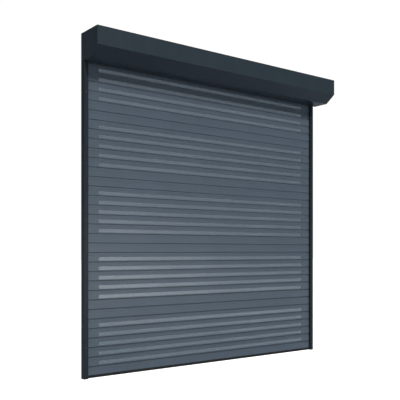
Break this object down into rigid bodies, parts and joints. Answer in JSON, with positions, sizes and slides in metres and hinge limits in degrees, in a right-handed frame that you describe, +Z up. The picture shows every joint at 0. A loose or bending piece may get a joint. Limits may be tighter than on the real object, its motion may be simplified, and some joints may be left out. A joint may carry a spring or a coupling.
{
  "type": "roller shutter door",
  "caption": "Closed roller shutter door: angled headbox, narrow guide rails and an interlocking slatted curtain with window strips, driven by a tubular motor.",
  "frame": {"origin": "on the wall face, midway between the guide rails and midway between their lowest and highest wall screws, which is the centre of the rail_wall_screws pattern", "axes": "+X to the right seen from outside, +Y into the wall, +Z up"},
  "size_m": [2.736, 0.27, 2.78],
  "materials": {
    "hood_paint": "satin anthracite powder coat on aluminium sheet",
    "rail_paint": "satin anthracite powder coat on an aluminium extrusion",
    "slat_paint": "semi-gloss slate grey coating on aluminium",
    "window_plastic": "smoke grey polycarbonate, slightly frosted",
    "seal_rubber": "matt black rubber",
    "brush": "black nylon pile",
    "black_plastic": "matt black moulded nylon",
    "galvanised": "galvanised steel with a faint spangle",
    "cast_metal": "as-cast aluminium, matt",
    "bolt_steel": "zinc-plated steel",
    "dark_steel": "blackened stainless steel",
    "motor_paint": "plain aluminium tube",
    "spring_steel": "blued spring steel"
  },
  "bodies": {
    "frame": {"guide_rail_left": "rail_paint", "guide_rail_right": "rail_paint", "rail_hole_caps": "black_plastic", "rail_brushes": "brush", "inlet_funnel_left": "black_plastic", "inlet_funnel_right": "black_plastic", "hood_back_panel": "hood_paint", "hood_front_cover": "hood_paint", "end_plate_left": "hood_paint", "end_plate_right": "hood_paint", "motor_side_plate": "galvanised", "cover_screws": "dark_steel", "idler_bearing": "cast_metal", "motor_bracket": "galvanised", "bracket_bolts": "bolt_steel", "motor_head": "black_plastic", "motor_body": "motor_paint"},
    "barrel": {"winding_tube": "galvanised", "idler_cap": "black_plastic", "idler_pin": "bolt_steel", "limit_ring": "black_plastic", "drive_crown": "cast_metal"},
    "curtain": {"slat_01": "slat_paint", "slat_02": "slat_paint", "slat_03": "slat_paint", "slat_04": "slat_paint", "slat_05": "slat_paint", "slat_06": "slat_paint", "slat_07": "slat_paint", "slat_08": "slat_paint", "slat_09": "slat_paint", "slat_10": "slat_paint", "slat_11": "slat_paint", "slat_12": "slat_paint", "slat_13": "slat_paint", "slat_14": "slat_paint", "slat_15": "slat_paint", "slat_16": "slat_paint", "slat_17": "slat_paint", "slat_18": "slat_paint", "slat_19": "slat_paint", "slat_20": "slat_paint", "slat_21": "slat_paint", "slat_22": "slat_paint", "slat_23": "slat_paint", "slat_24": "slat_paint", "slat_25": "slat_paint", "slat_26": "slat_paint", "slat_27": "slat_paint", "slat_28": "slat_paint", "slat_29": "slat_paint", "slat_30": "slat_paint", "slat_31": "slat_paint", "slat_32": "slat_paint", "slat_33": "slat_paint", "window_strips": "window_plastic", "slat_end_locks": "black_plastic", "bottom_bar": "slat_paint", "bottom_seal": "seal_rubber", "hanger_straps": "spring_steel"}
  },
  "joints": [
    {"name": "curtain_lift", "type": "slide", "parent": "frame", "child": "curtain", "axis": [0, 0, 1], "range_m": [0, 0.125], "deforming": ["hanger_straps"]},
    {"name": "barrel_turn", "type": "hinge", "parent": "frame", "child": "barrel", "pos_m": [0, -0.135, 1.39], "axis": [1, 0, 0], "range_deg": [0, 173]}
  ],
  "couplings": [
    {"joint": "barrel_turn", "follows": "curtain_lift", "rad_per_m": 24.096}
  ]
}
